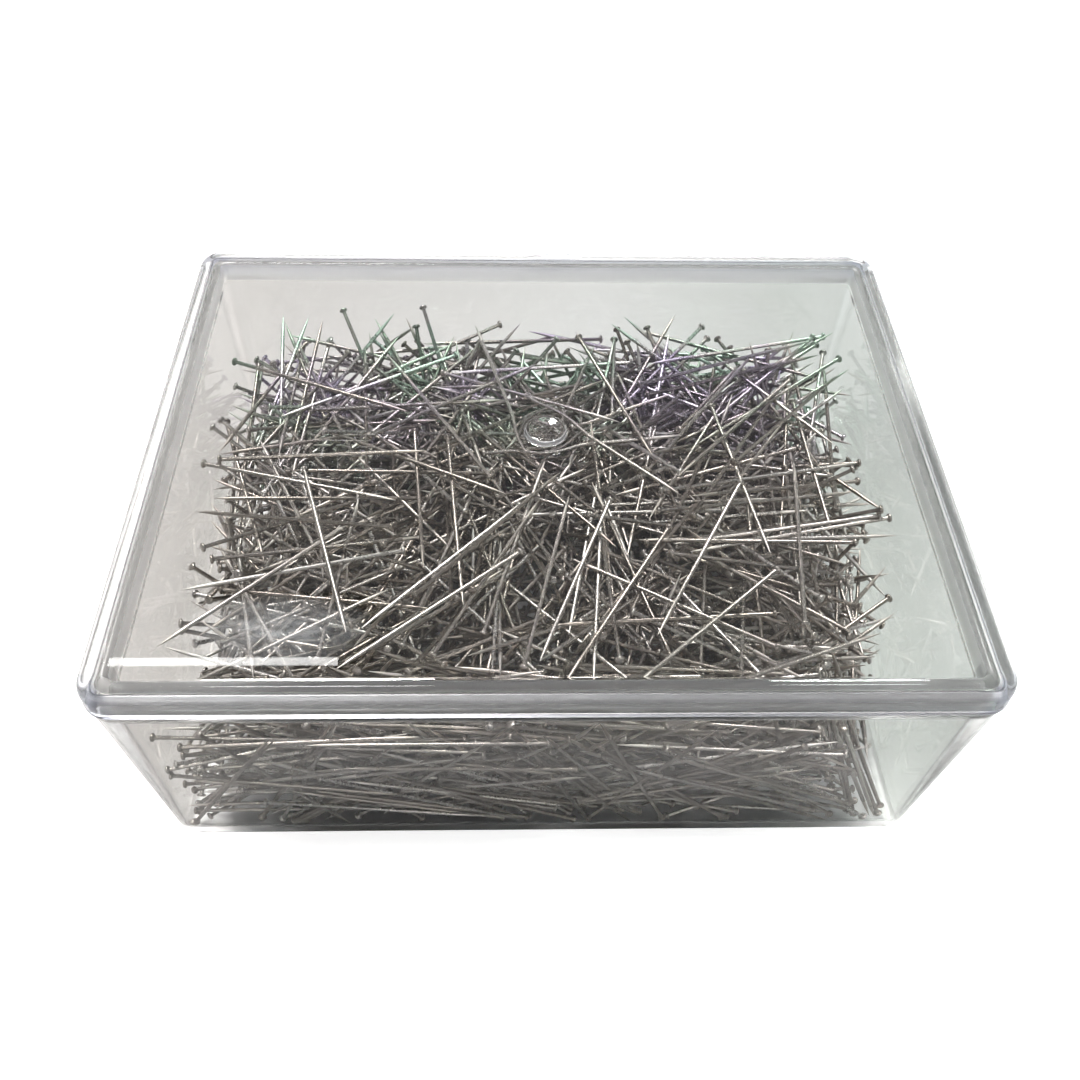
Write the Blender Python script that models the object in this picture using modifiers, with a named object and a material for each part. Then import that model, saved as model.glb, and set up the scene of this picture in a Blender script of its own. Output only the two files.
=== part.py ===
"""Clear lidded box full of headed straight pins.

Frame: metres, +Z up, origin at the middle of the box's underside.
+X runs along the long side of the box, -Y is the front.
"""
import math
import random

import bmesh
import bpy
from mathutils import Vector

# ---------------------------------------------------------------- dimensions
MM = 0.001

BOX_W = 108.0 * MM          # outside of lid and tray shoulder, left to right
BOX_D = 83.6 * MM           # outside, front to back
BOX_H = 41.0 * MM           # closed height

LID_H = 5.1 * MM            # lid skirt, top face to lower edge
LID_PLATE = 1.8 * MM        # lid's flat plate
LID_WALL = 1.9 * MM         # lid's skirt wall
LID_CORNER = 3.6 * MM       # upright corner radius of the lid
LID_EDGE = 2.3 * MM         # rounded top edge of the lid
GATE_R = 2.9 * MM           # moulding gate button in the middle of the lid
GATE_H = 0.60 * MM

FIT = 0.3 * MM              # running gap between lid and tray neck
SEAT = 0.3 * MM             # gap between lid plate and tray rim
SHOULDER_GAP = 0.4 * MM     # gap between lid's lower edge and tray shoulder

DRAFT = math.tan(math.radians(3.3))       # outside of the tray walls
DRAFT_IN = math.tan(math.radians(1.4))    # inside of the tray walls
NECK_WALL = 1.2 * MM        # thin neck that the lid slips over
FLOOR = 1.6 * MM
TRAY_INSET = 0.2 * MM       # tray shoulder stands in from the lid's skirt
TRAY_CORNER = 3.9 * MM
NECK_CORNER = 2.2 * MM
TRAY_FOOT = 2.3 * MM        # rounded edge round the underside
CAVITY_CORNER = 3.0 * MM

PIN_L = 30.0 * MM           # long dressmaking pin
PIN_R = 0.30 * MM
HEAD_R = 0.74 * MM
HEAD_H = 0.50 * MM
POINT_L = 4.2 * MM

HEAP_GAP = 0.8 * MM         # heap to tray wall and floor
PIN_GAP = 0.40 * MM         # between one pin and whatever it lies on
LIE_MAX = math.radians(14)  # steepest lie of a pin on top of the heap
BEDDED = 30                 # pins half sunk in the heap
LOOSE = 18                  # pins that lie free on top

RIM_Z = BOX_H - LID_PLATE - SEAT
SHOULDER_Z = BOX_H - LID_H - SHOULDER_GAP
NECK_X = BOX_W / 2 - LID_WALL - FIT       # outside of the neck
NECK_Y = BOX_D / 2 - LID_WALL - FIT


def cavity_half(z):
    """Half width and half depth of the tray's hollow at height z."""
    drop = (RIM_Z - z) * DRAFT_IN
    return NECK_X - NECK_WALL - drop, NECK_Y - NECK_WALL - drop


# ------------------------------------------------------------------ scene set
for old in list(bpy.data.objects):
    bpy.data.objects.remove(old, do_unlink=True)

parts = bpy.data.collections.new("boxed_straight_pins")
cutters = bpy.data.collections.new("cutters")
bpy.context.scene.collection.children.link(parts)
bpy.context.scene.collection.children.link(cutters)


def material(name, colour, rough, metal, alpha=1.0):
    mat = bpy.data.materials.new(name)
    mat.use_nodes = True
    bsdf = mat.node_tree.nodes["Principled BSDF"]
    bsdf.inputs["Base Color"].default_value = (*colour, 1.0)
    bsdf.inputs["Roughness"].default_value = rough
    bsdf.inputs["Metallic"].default_value = metal
    bsdf.inputs["Alpha"].default_value = alpha
    return mat


CLEAR_TRAY = material("clear_tray", (0.86, 0.88, 0.87), 0.06, 0.0, 0.3)
CLEAR_LID = material("clear_lid", (0.87, 0.89, 0.89), 0.05, 0.0, 0.3)
HEAP_STEEL = material("heap_steel", (0.42, 0.41, 0.40), 0.35, 1.0)
PIN_STEEL = material("pin_steel", (0.72, 0.71, 0.69), 0.22, 1.0)


def add(name, bm, mat, collection=parts, cutter=False):
    mesh = bpy.data.meshes.new(name)
    bm.to_mesh(mesh)
    bm.free()
    obj = bpy.data.objects.new(name, mesh)
    collection.objects.link(obj)
    if cutter:
        obj.hide_render = True
        obj.display_type = 'WIRE'
    else:
        mesh.materials.append(mat)
    return obj


def upright_edges(bm):
    return [e for e in bm.edges
            if abs((e.verts[0].co - e.verts[1].co).normalized().z) > 0.5]


def level_edges(bm, z):
    return [e for e in bm.edges
            if all(abs(v.co.z - z) < 1e-7 for v in e.verts)]


def bevel(bm, edges, width, segments):
    bmesh.ops.bevel(bm, geom=edges, offset=width, offset_type='OFFSET',
                    segments=segments, profile=0.5, affect='EDGES',
                    clamp_overlap=True)


def block(low, high, z0, z1, corner, seg, edge_z=None, edge_r=0.0, edge_seg=3):
    """Tapered block with round upright corners and one rounded rim."""
    bm = bmesh.new()
    bmesh.ops.create_cube(bm, size=2.0)
    for v in bm.verts:
        half = high if v.co.z > 0 else low
        v.co = Vector((math.copysign(half[0], v.co.x),
                       math.copysign(half[1], v.co.y),
                       z1 if v.co.z > 0 else z0))
    bevel(bm, upright_edges(bm), corner, seg)
    if edge_z is not None:
        bevel(bm, level_edges(bm, edge_z), edge_r, edge_seg)
    bmesh.ops.recalc_face_normals(bm, faces=bm.faces)
    return bm


def boolean(obj, tool, op):
    mod = obj.modifiers.new(op.lower() + "_" + tool.name, 'BOOLEAN')
    mod.operation = op
    mod.solver = 'EXACT'
    mod.object = tool


def smooth(obj, angle=35.0):
    obj.data.shade_smooth()
    obj.data.set_sharp_from_angle(angle=math.radians(angle))


# ----------------------------------------------------------------------- tray
top = (BOX_W / 2, BOX_D / 2)
shoulder = (BOX_W / 2 - TRAY_INSET, BOX_D / 2 - TRAY_INSET)
foot = (shoulder[0] - SHOULDER_Z * DRAFT, shoulder[1] - SHOULDER_Z * DRAFT)
tray = add("tray", block(foot, shoulder, 0.0, SHOULDER_Z, TRAY_CORNER, 4,
                         0.0, TRAY_FOOT, 3), CLEAR_TRAY)
neck = add("neck_block", block((NECK_X, NECK_Y), (NECK_X, NECK_Y),
                               SHOULDER_Z - 1.0 * MM, RIM_Z, NECK_CORNER, 4),
           None, cutters, True)
over = 6.0 * MM
hollow = add("hollow_block",
             block(cavity_half(FLOOR), cavity_half(RIM_Z + over), FLOOR,
                   RIM_Z + over, CAVITY_CORNER, 4, FLOOR, 1.2 * MM, 2),
             None, cutters, True)
boolean(tray, neck, 'UNION')
boolean(tray, hollow, 'DIFFERENCE')

# ------------------------------------------------------------------------ lid
lid = add("lid", block(top, top, BOX_H - LID_H, BOX_H, LID_CORNER, 5,
                       BOX_H, LID_EDGE, 3), CLEAR_LID)
inner = (BOX_W / 2 - LID_WALL, BOX_D / 2 - LID_WALL)
lid_hollow = add("lid_hollow_block",
                 block(inner, inner, BOX_H - LID_H - 3 * MM,
                       BOX_H - LID_PLATE, LID_CORNER - LID_WALL + 0.5 * MM, 4),
                 None, cutters, True)
gate = bmesh.new()
bmesh.ops.create_cone(gate, cap_ends=True, segments=24, radius1=GATE_R,
                      radius2=GATE_R - 0.35 * MM, depth=GATE_H + 0.6 * MM)
bmesh.ops.translate(gate, verts=gate.verts,
                    vec=(0, 0, BOX_H + GATE_H - (GATE_H + 0.6 * MM) / 2))
gate_button = add("gate_button", gate, None, cutters, True)
boolean(lid, lid_hollow, 'DIFFERENCE')
boolean(lid, gate_button, 'UNION')


# ----------------------------------------------------------------------- heap
def heap_z(x, y):
    """Height of the packed bulk: level on top, steep at both ends and behind."""
    x, y = x / MM, y / MM
    top = 26.5 + 0.07 * max(0.0, -y - 8.0) - 0.003 * max(0.0, y - 20.0) ** 2
    top += 0.7 * math.sin(0.057 * x + 0.6) * math.cos(0.066 * y - 0.4)
    top += 0.4 * math.sin(0.135 * x - 0.1 * y)
    left = 4.0 + 5.0 * (50.0 + x)
    right = 4.0 + (2.9 + 0.06 * (y + 37.0)) * (50.0 - x)
    back = 6.0 + 7.0 * (38.0 - y)
    return min(top, left, right, back) * MM


NX, NY = 24, 16
heap = bmesh.new()
bmesh.ops.create_grid(heap, x_segments=NX, y_segments=NY, size=1.0)
for v in heap.verts:
    hx, hy = cavity_half(16.0 * MM)
    x = v.co.x * (hx - HEAP_GAP - 0.3 * MM)
    y = v.co.y * (hy - HEAP_GAP - 0.3 * MM)
    v.co = Vector((x, y, heap_z(x, y)))
walls = bmesh.ops.extrude_face_region(heap, geom=list(heap.faces))
lower = [g for g in walls["geom"] if isinstance(g, bmesh.types.BMVert)]
fx, fy = cavity_half(FLOOR)
hx, hy = cavity_half(16.0 * MM)
for v in lower:
    v.co = Vector((v.co.x * (fx - 1.2 * MM - HEAP_GAP) / hx,
                   v.co.y * (fy - 1.2 * MM - HEAP_GAP) / hy,
                   FLOOR + HEAP_GAP))
flat = [f for f in heap.faces
        if all(abs(v.co.z - FLOOR - HEAP_GAP) < 1e-7 for v in f.verts)]
bmesh.ops.dissolve_faces(heap, faces=flat)
bmesh.ops.recalc_face_normals(heap, faces=heap.faces)
pin_heap = add("pin_heap", heap, HEAP_STEEL)
smooth(pin_heap, 40)

# ----------------------------------------------------------------------- pins
# Half profile of one pin, head up, turned about Z.
half = PIN_L / 2
profile = [(0.0, half),
           (HEAD_R * 0.62, half - 0.08 * MM),
           (HEAD_R, half - 0.22 * MM),
           (HEAD_R * 0.93, half - HEAD_H),
           (PIN_R, half - HEAD_H - 0.10 * MM),
           (PIN_R, -half + POINT_L),
           (PIN_R * 0.62, -half + POINT_L * 0.45),
           (0.0, -half)]
pin_mesh = bpy.data.meshes.new("pin_profile")
pin_mesh.from_pydata([(r, 0.0, z) for r, z in profile],
                     [(i, i + 1) for i in range(len(profile) - 1)], [])
pin_mesh.materials.append(PIN_STEEL)


def add_pin(name, centre, azimuth, tilt):
    obj = bpy.data.objects.new(name, pin_mesh)
    parts.objects.link(obj)
    obj.location = centre
    obj.rotation_euler = (0.0, math.pi / 2 - tilt, azimuth)
    turn = obj.modifiers.new("turn", 'SCREW')
    turn.axis = 'Z'
    turn.angle = 2 * math.pi
    turn.screw_offset = 0.0
    turn.steps = 8
    turn.render_steps = 8
    turn.use_merge_vertices = True
    turn.merge_threshold = 0.000001
    turn.use_smooth_shade = True
    return obj


STEPS = 60


def samples(x, y, azimuth, tilt):
    """Points along a pin's axis, tip to head, with the radius at each."""
    c, s, e = (math.cos(azimuth) * math.cos(tilt),
               math.sin(azimuth) * math.cos(tilt), math.sin(tilt))
    out = []
    for i in range(STEPS + 1):
        t = (i / STEPS - 0.5) * PIN_L
        r = HEAD_R if t > half - 1.2 * MM else PIN_R
        out.append((x + c * t, y + s * t, e * t, r))
    return out


def inside(pts, z):
    hx, hy = cavity_half(z)
    edge = HEAD_R + 0.8 * MM
    return all(abs(p[0]) < hx - edge and abs(p[1]) < hy - edge
               for p in (pts[0], pts[-1]))


def settle(pts, placed):
    """Lowest height at which the pin clears the heap and the pins below."""
    z = 0.0
    for px, py, pz, r in pts:
        z = max(z, heap_z(px, py) + r + PIN_GAP - pz)
    for other, oz in placed:
        for px, py, pz, r in pts:
            for qx, qy, qz, q in other:
                reach = r + q + PIN_GAP
                d2 = (px - qx) ** 2 + (py - qy) ** 2
                if d2 < reach * reach:
                    z = max(z, oz + qz - pz + math.sqrt(reach * reach - d2))
    return z


def lie(x, y, azimuth):
    """Tilt at which a pin lies along the slope of the heap under it."""
    c, s = math.cos(azimuth) * PIN_L * 0.4, math.sin(azimuth) * PIN_L * 0.4
    rise = heap_z(x + c, y + s) - heap_z(x - c, y - s)
    return max(-LIE_MAX, min(LIE_MAX, math.atan2(rise, 0.8 * PIN_L)))


def plan_gap(a, b):
    return min(math.hypot(p[0] - q[0], p[1] - q[1])
               for p in a[::2] for q in b[::2])


rng = random.Random(417)
placed = []
CEILING = BOX_H - LID_PLATE - 6.3 * MM      # keeps headroom under the lid

count = 0
while count < BEDDED:
    x = rng.uniform(-38, 38) * MM
    y = rng.uniform(-30, 30) * MM
    az = rng.uniform(-math.pi, math.pi)
    tilt = lie(x, y, az) + math.radians(rng.uniform(-6, 6))
    pts = samples(x, y, az, tilt)
    if not inside(pts, 20 * MM):
        continue
    z = settle(pts, placed)
    if max(z + p[2] + p[3] for p in pts) > CEILING - 2.2 * MM:
        continue
    placed.append((pts, z))
    count += 1
    add_pin("bedded_pin_%02d" % count, (x, y, z), az, tilt)

free = []
count = 0
while count < LOOSE:
    x = rng.uniform(-42, 40) * MM
    y = rng.uniform(-32, 30) * MM
    az = rng.uniform(-math.pi, math.pi)
    tilt = lie(x, y, az) + math.radians(rng.uniform(-4, 4))
    pts = samples(x, y, az, tilt)
    if not inside(pts, 22 * MM):
        continue
    if any(plan_gap(pts, other) < 2.4 * MM for other in free):
        continue
    z = settle(pts, placed)
    if max(z + p[2] + p[3] for p in pts) > CEILING:
        continue
    free.append(pts)
    placed.append((pts, z))
    count += 1
    add_pin("loose_pin_%02d" % count, (x, y, z), az, tilt)
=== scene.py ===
import math

import bpy
import numpy as np
from mathutils import Matrix, Vector


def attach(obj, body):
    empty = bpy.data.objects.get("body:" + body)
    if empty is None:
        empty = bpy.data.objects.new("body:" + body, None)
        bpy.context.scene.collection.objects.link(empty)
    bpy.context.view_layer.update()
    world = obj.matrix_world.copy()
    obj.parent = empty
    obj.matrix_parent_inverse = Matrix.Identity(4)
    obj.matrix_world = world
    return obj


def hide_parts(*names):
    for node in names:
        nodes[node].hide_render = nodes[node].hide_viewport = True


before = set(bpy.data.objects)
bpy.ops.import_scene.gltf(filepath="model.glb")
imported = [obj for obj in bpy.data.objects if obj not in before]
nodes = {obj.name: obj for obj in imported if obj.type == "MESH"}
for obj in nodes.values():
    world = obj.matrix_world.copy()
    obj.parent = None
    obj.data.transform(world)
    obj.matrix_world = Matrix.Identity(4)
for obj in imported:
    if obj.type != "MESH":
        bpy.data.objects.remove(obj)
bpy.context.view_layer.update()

scene = bpy.context.scene

# ------------------------------------------------------------------ sizes, mm
BOX_W, BOX_D, BOX_H = 108.0, 83.6, 41.0
LID_H, LID_PLATE, LID_WALL = 5.1, 1.8, 1.9
LID_CORNER, LID_EDGE = 3.6, 2.3
GATE_R, GATE_H = 2.9, 0.60
FIT, SEAT, SHOULDER_GAP = 0.3, 0.3, 0.4
DRAFT = math.tan(math.radians(3.3))
DRAFT_IN = math.tan(math.radians(1.4))
NECK_WALL, FLOOR = 1.2, 1.6
TRAY_CORNER, TRAY_FOOT, CAVITY_CORNER = 3.9, 2.3, 0.9
TRAY_INSET, NECK_CORNER = 0.2, 1.4
PIN_L, PIN_R, HEAD_R, HEAD_H, POINT_L = 30.0, 0.30, 0.74, 0.50, 4.2
HALF = PIN_L / 2

RIM_Z = BOX_H - LID_PLATE - SEAT
SHOULDER_Z = BOX_H - LID_H - SHOULDER_GAP
NECK_X = BOX_W / 2 - LID_WALL - FIT
NECK_Y = BOX_D / 2 - LID_WALL - FIT
CAV_X, CAV_Y = NECK_X - NECK_WALL, NECK_Y - NECK_WALL


# ------------------------------------------------------------- mesh from rings
def new_object(name, verts, faces, smooth_angle=None):
    """Mesh object from millimetre points and faces of any size."""
    mesh = bpy.data.meshes.new(name)
    verts = np.asarray(verts, float) * 0.001
    loops = np.concatenate([np.asarray(f, np.int32) for f in faces])
    starts = np.concatenate([[0], np.cumsum([len(f) for f in faces])[:-1]])
    mesh.vertices.add(len(verts))
    mesh.vertices.foreach_set("co", verts.astype(np.float32).ravel())
    mesh.loops.add(len(loops))
    mesh.loops.foreach_set("vertex_index", loops.astype(np.int32))
    mesh.polygons.add(len(faces))
    mesh.polygons.foreach_set("loop_start", starts.astype(np.int32))
    mesh.update(calc_edges=True)
    mesh.validate()
    mesh.polygons.foreach_set("use_smooth", np.ones(len(faces), bool))
    if smooth_angle is not None:
        mesh.set_sharp_from_angle(angle=math.radians(smooth_angle))
    obj = bpy.data.objects.new(name, mesh)
    scene.collection.objects.link(obj)
    return obj


CORNER_SEG = 8
SIDE_X = np.concatenate([np.linspace(-0.98, -0.25, 8), np.linspace(-0.22, 0.22, 23),
                         np.linspace(0.25, 0.98, 8)])
SIDE_Y = np.linspace(-0.97, 0.97, 13)


def ring(hx, hy, r, z):
    """Rounded rectangle, counter-clockwise from the right side's front end."""
    hx, hy = float(hx), float(hy)
    r = max(float(r), 0.02)
    out = []
    arc = np.linspace(0, math.pi / 2, CORNER_SEG + 1)
    for sx, sy, a0 in ((1, 1, 0), (-1, 1, 1), (-1, -1, 2), (1, -1, 3)):
        # straight run that leads into this corner
        if a0 == 0:
            out += [(hx, t * (hy - r)) for t in SIDE_Y]
        elif a0 == 1:
            out += [(-t * (hx - r), hy) for t in SIDE_X]
        elif a0 == 2:
            out += [(-hx, -t * (hy - r)) for t in SIDE_Y]
        else:
            out += [(t * (hx - r), -hy) for t in SIDE_X]
        for a in arc + a0 * math.pi / 2:
            out.append((sx * (hx - r) + r * math.cos(a), sy * (hy - r) + r * math.sin(a)))
    return np.array([(x, y, z) for x, y in out])


def round_ring(like, r, z):
    """Circle with one point for each point of another ring."""
    a = np.arctan2(like[:, 1] * 1.15, like[:, 0])
    return np.stack([r * np.cos(a), r * np.sin(a), np.full(len(a), z)], 1)


def turn_rings(name, rings, pole_first, pole_last, smooth_angle=None):
    """Closed body from a run of rings that starts and ends at a pole."""
    n = len(rings[0])
    verts = [np.array([pole_first])] + list(rings) + [np.array([pole_last])]
    verts = np.concatenate(verts)
    faces = []
    k = np.arange(n)
    nxt = (k + 1) % n
    for a, b in zip(k, nxt):
        faces.append((0, 1 + b, 1 + a))
    for i in range(len(rings) - 1):
        lo, hi = 1 + i * n, 1 + (i + 1) * n
        for a, b in zip(k, nxt):
            faces.append((lo + a, lo + b, hi + b, hi + a))
    last = 1 + len(rings) * n
    lo = 1 + (len(rings) - 1) * n
    for a, b in zip(k, nxt):
        faces.append((lo + a, lo + b, last))
    return new_object(name, verts, faces, smooth_angle)


def fillet(p0, p1, p2, seg):
    """Quarter-like arc from p0 to p2 that is tangent to the lines to p1."""
    p0, p1, p2 = (np.array(p, float) for p in (p0, p1, p2))
    out = []
    for t in np.linspace(0, 1, seg + 1):
        a = t * math.pi / 2
        out.append(tuple(p1 + (p0 - p1) * (1 - math.sin(a)) + (p2 - p1) * (1 - math.cos(a))))
    return out


# ----------------------------------------------------------------- tray and lid
EASE = 0.06        # close loops that hold the flat faces flat

half_w, half_d = BOX_W / 2, BOX_D / 2


def tray_rings():
    rings = []

    def outer(z, inset=0.0):
        drop = TRAY_INSET + (SHOULDER_Z - z) * DRAFT + inset
        return ring(half_w - drop, half_d - drop, max(TRAY_CORNER - inset, 0.3), z)

    def neck(z, inset=0.0):
        return ring(NECK_X - inset, NECK_Y - inset, max(NECK_CORNER - inset, 0.3), z)

    def inner(z, inset=0.0):
        drop = (RIM_Z - z) * DRAFT_IN + inset
        return ring(CAV_X - drop, CAV_Y - drop, max(CAVITY_CORNER - inset, 0.4), z)

    # flat underside
    for inset in (20.0, TRAY_FOOT + 1.0, TRAY_FOOT + EASE):
        rings.append(outer(0.0, inset))
    for d, z in fillet((TRAY_FOOT, 0.0), (0.0, 0.0), (0.0, TRAY_FOOT), 8):
        rings.append(outer(z, d))
    rings.append(outer(TRAY_FOOT + EASE * 2))
    rings.append(outer(12.0))
    rings.append(outer(24.0))
    top = SHOULDER_Z
    rings.append(outer(top - 0.5))
    for d, z in fillet((0.0, top - 0.42), (0.0, top), (0.42, top), 5):
        g = outer(min(z, top), d)
        rings.append(g)
    inset_neck = half_w - TRAY_INSET - NECK_X
    for d in (0.48, inset_neck - 0.42):
        rings.append(outer(top, d))
    for d, z in fillet((0.35, top), (0.0, top), (0.0, top + 0.35), 4):
        rings.append(neck(z, -d))
    rings.append(neck(top + 0.42))
    rings.append(neck(RIM_Z - 0.62))
    for d, z in fillet((0.0, RIM_Z - 0.55), (0.0, RIM_Z), (0.55, RIM_Z), 6):
        rings.append(neck(z, d))
    for d, z in fillet((-0.55, RIM_Z), (0.0, RIM_Z), (0.0, RIM_Z - 0.55), 6):
        rings.append(inner(z, d))
    rings.append(inner(RIM_Z - 0.62))
    # faint witness line round the inside
    wz = 35.4
    rings.append(inner(wz + 0.34))
    rings.append(inner(wz + 0.26, 0.0))
    rings.append(inner(wz + 0.08, 0.10))
    rings.append(inner(wz - 0.05, 0.11))
    rings.append(inner(wz - 0.30, 0.11))
    rings.append(inner(22.0, 0.08))
    rings.append(inner(12.0, 0.03))
    ff = 1.4
    rings.append(inner(FLOOR + ff + 0.1))
    for d, z in fillet((0.0, FLOOR + ff), (0.0, FLOOR), (ff, FLOOR), 8):
        rings.append(inner(z, d))
    rings.append(inner(FLOOR, ff + EASE))
    rings.append(inner(FLOOR, 9.0))
    return rings


tray = turn_rings("tray_clear", tray_rings(), (0, 0, 0.0), (0, 0, FLOOR), 60)


DISH = 0.36        # how deep the gate button's top is dished


def lid_rings():
    rings = []
    z0, z1 = BOX_H - LID_H, BOX_H
    ceil = BOX_H - LID_PLATE
    ic = 1.1

    def outer(z, inset=0.0):
        return ring(half_w - inset, half_d - inset, max(LID_CORNER - inset, 0.25), z)

    def inner(z, inset=0.0):
        return ring(half_w - LID_WALL - inset, half_d - LID_WALL - inset,
                    max(ic - inset, 0.2), z)

    # underside of the plate, from the middle outwards
    probe = inner(ceil)
    rings.append(round_ring(probe, 9.0, ceil))
    rings.append(inner(ceil, 6.0))
    fi = 0.5
    rings.append(inner(ceil, fi + EASE))
    for d, z in fillet((fi, ceil), (0.0, ceil), (0.0, ceil - fi), 5):
        rings.append(inner(z, d))
    rings.append(inner(ceil - fi - EASE))
    rings.append(inner(z0 + 1.0))
    # lower edge: rounded inside, small rolled bead outside
    for d, z in fillet((0.0, z0 + 0.40), (0.0, z0), (-0.40, z0), 4):
        rings.append(inner(z, d))
    rings.append(inner(z0, -0.48))
    rings.append(outer(z0, 0.62))
    for d, z in fillet((0.55, z0), (0.0, z0), (0.0, z0 + 0.55), 5):
        rings.append(outer(z, d))
    rings.append(outer(z0 + 0.62))
    rings.append(outer(z0 + 1.05))
    rings.append(outer(z0 + 1.22, 0.05))
    rings.append(outer(z0 + 1.34, 0.06))
    rings.append(outer(z1 - LID_EDGE - EASE, 0.06))
    for d, z in fillet((0.06, z1 - LID_EDGE), (0.06, z1), (LID_EDGE + 0.06, z1), 9):
        rings.append(outer(z, d))
    rings.append(outer(z1, LID_EDGE + 0.06 + EASE))
    rings.append(outer(z1, 7.0))
    # gate button: round shoulder and a dished top
    for r, z in ((GATE_R + 3.0, z1), (GATE_R + 0.25, z1), (GATE_R + 0.07, z1 + 0.03),
                 (GATE_R - 0.03, z1 + 0.11), (GATE_R - 0.11, z1 + 0.33), (GATE_R - 0.22, z1 + 0.48),
                 (GATE_R - 0.40, z1 + 0.57), (GATE_R - 0.62, z1 + GATE_H)):
        rings.append(round_ring(probe, r, z))
    brim = GATE_R - 0.62
    for r in (2.05, 1.75, 1.4, 1.05, 0.7, 0.35):
        rings.append(round_ring(probe, r, z1 + GATE_H - DISH * (1 - (r / brim) ** 2)))
    # thumb bump in the middle of the back edge
    for g in rings:
        at_back = (np.abs(g[:, 1] - half_d) < 0.9) & (np.abs(g[:, 0] - 2.6) < 3.6)
        high = np.clip((g[:, 2] - (z1 - 5.5)) / 2.0, 0, 1)
        w = np.clip(1 - (np.abs(g[:, 0] - 2.6) / 3.5) ** 4, 0, 1) * at_back * high
        g[:, 1] += 0.32 * w
    return rings


lid = turn_rings("lid_clear", lid_rings(), (0, 0, BOX_H - LID_PLATE),
                 (0, 0, BOX_H + GATE_H - DISH), 60)


# ------------------------------------------------------------------- CAD's pins
def axis_of(obj):
    """Middle and direction, point to head, of one pin of the frame, in mm."""
    co = np.array([v.co[:] for v in obj.data.vertices], float) * 1000
    mid = (co.min(0) + co.max(0)) / 2
    u = np.linalg.svd(co - co.mean(0), full_matrices=False)[2][0]
    t = (co - mid) @ u
    ends = co[t.argmin()], co[t.argmax()]
    spread = []
    for e in ends:
        near = co[np.linalg.norm(co - e, axis=1) < 0.95]
        along = (near - e) @ u
        spread.append(np.linalg.norm(near - e - along[:, None] * u, axis=1).max())
    tip, head = ends if spread[1] > spread[0] else ends[::-1]
    d = head - tip
    return (tip + head) / 2, d / np.linalg.norm(d)


loose_names = sorted(n for n in nodes if n.startswith("loose_pin"))
bedded_names = sorted(n for n in nodes if n.startswith("bedded_pin"))
loose_axes = [axis_of(nodes[n]) for n in loose_names]
bedded_axes = [axis_of(nodes[n]) for n in bedded_names]

# ------------------------------------------------------------- the bulk of pins
rng = np.random.default_rng(20417)
TOUCH = 2 * PIN_R + 0.02
GAP_LOOSE = 2 * PIN_R + 0.12
R_HEAD, R_TIP = HEAD_R + 0.06, PIN_R + 0.03
HEAD_SEEN = 0.66   # most heads are a little under the full size
CEILING = 33.6     # no point or head of the heap stands higher


def cavity(z):
    drop = (RIM_Z - z) * DRAFT_IN
    return CAV_X - drop - 0.12, CAV_Y - drop - 0.12


def heap_top(x, y):
    top = 26.5 + 0.07 * np.maximum(0.0, -y - 8.0) - 0.003 * np.maximum(0.0, y - 20.0) ** 2
    top = top + 0.7 * np.sin(0.057 * x + 0.6) * np.cos(0.066 * y - 0.4)
    return top + 0.4 * np.sin(0.135 * x - 0.1 * y) + 1.3


def left_side(z):
    return -50.0 + (z - 4.0) / 5.0


def right_side(y, z):
    slope = 50.0 - (z - 4.0) / (2.9 + 0.06 * (y + 37.0))
    # the front end of it is cut off almost upright
    return np.minimum(slope, 45.8 - (z - 4.0) * 0.32 + 0.9 * np.maximum(0.0, y + 31.0))


def back_side(z):
    return 38.0 - (z - 6.0) / 7.0


def in_heap(p, allow=0.0):
    x, y, z = p[..., 0], p[..., 1], p[..., 2]
    hx, hy = cavity(z)
    return ((np.abs(x) < hx - 0.35) & (np.abs(y) < hy - 0.35) & (z > FLOOR + 0.35)
            & (z < heap_top(x, y) + allow) & (x > left_side(z) - allow)
            & (x < right_side(y, z) + allow) & (y < back_side(z) + allow))


def depth(p):
    """How far a place lies under the heap's visible faces."""
    x, y, z = p
    return min(heap_top(x, y) - z, x - left_side(z), right_side(y, z) - x,
               back_side(z) - y, y + cavity(z)[1])


def way(azimuth, tilt):
    return np.array([math.cos(azimuth) * math.cos(tilt), math.sin(azimuth) * math.cos(tilt),
                     math.sin(tilt)])


def fits(c, u):
    """Both ends are clear of the walls and the floor."""
    ends = np.array([c - u * HALF, c + u * HALF])
    hx, hy = cavity(ends[:, 2])
    return ((np.abs(ends[:, 0]) < hx - 0.8).all() and (np.abs(ends[:, 1]) < hy - 0.8).all()
            and ends[:, 2].min() > FLOOR + 0.4 and ends[:, 2].max() < CEILING)


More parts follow.
